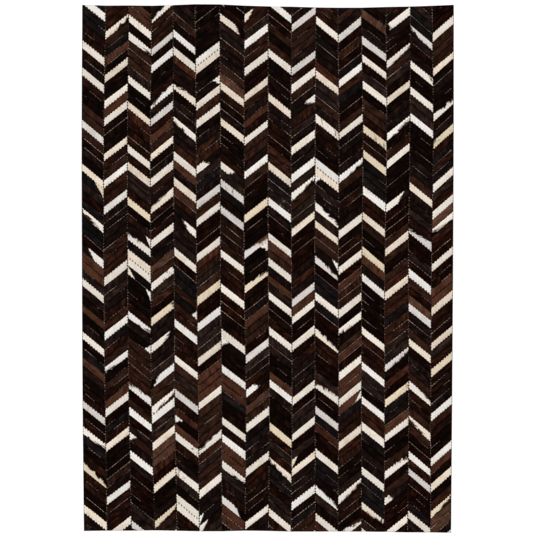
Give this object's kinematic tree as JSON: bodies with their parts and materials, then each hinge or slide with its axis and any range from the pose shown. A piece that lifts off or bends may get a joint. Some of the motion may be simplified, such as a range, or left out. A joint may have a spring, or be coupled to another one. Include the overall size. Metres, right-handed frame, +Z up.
{
  "type": "leather patchwork rug",
  "caption": "Flat rectangular rug of hair-on hide, pieced from slanted dark and pale leather strips in a chevron and sewn in long rows.",
  "frame": {"origin": "on the surface that the rug lies on, under the centre of the rug's outline", "axes": "+Z up out of the hair side, +Y along the rows towards the rug's head, +X across the rows to the right"},
  "size_m": [1.2054, 1.712, 0.0035],
  "materials": {
    "hide": "short smooth hair lying flat, near-black and dark brown strips with cream and white ones among them, soft sheen along the hair",
    "thread": "matt taupe zigzag sewing thread, half sunk in the hair along every seam"
  },
  "bodies": {
    "root": {"row_01": "hide", "row_02": "hide", "row_03": "hide", "row_04": "hide", "row_05": "hide", "row_06": "hide", "row_07": "hide", "row_08": "hide", "row_09": "hide", "row_10": "hide", "row_11": "hide", "row_12": "hide", "row_13": "hide", "row_14": "hide", "row_15": "hide", "row_16": "hide"}
  },
  "joints": []
}
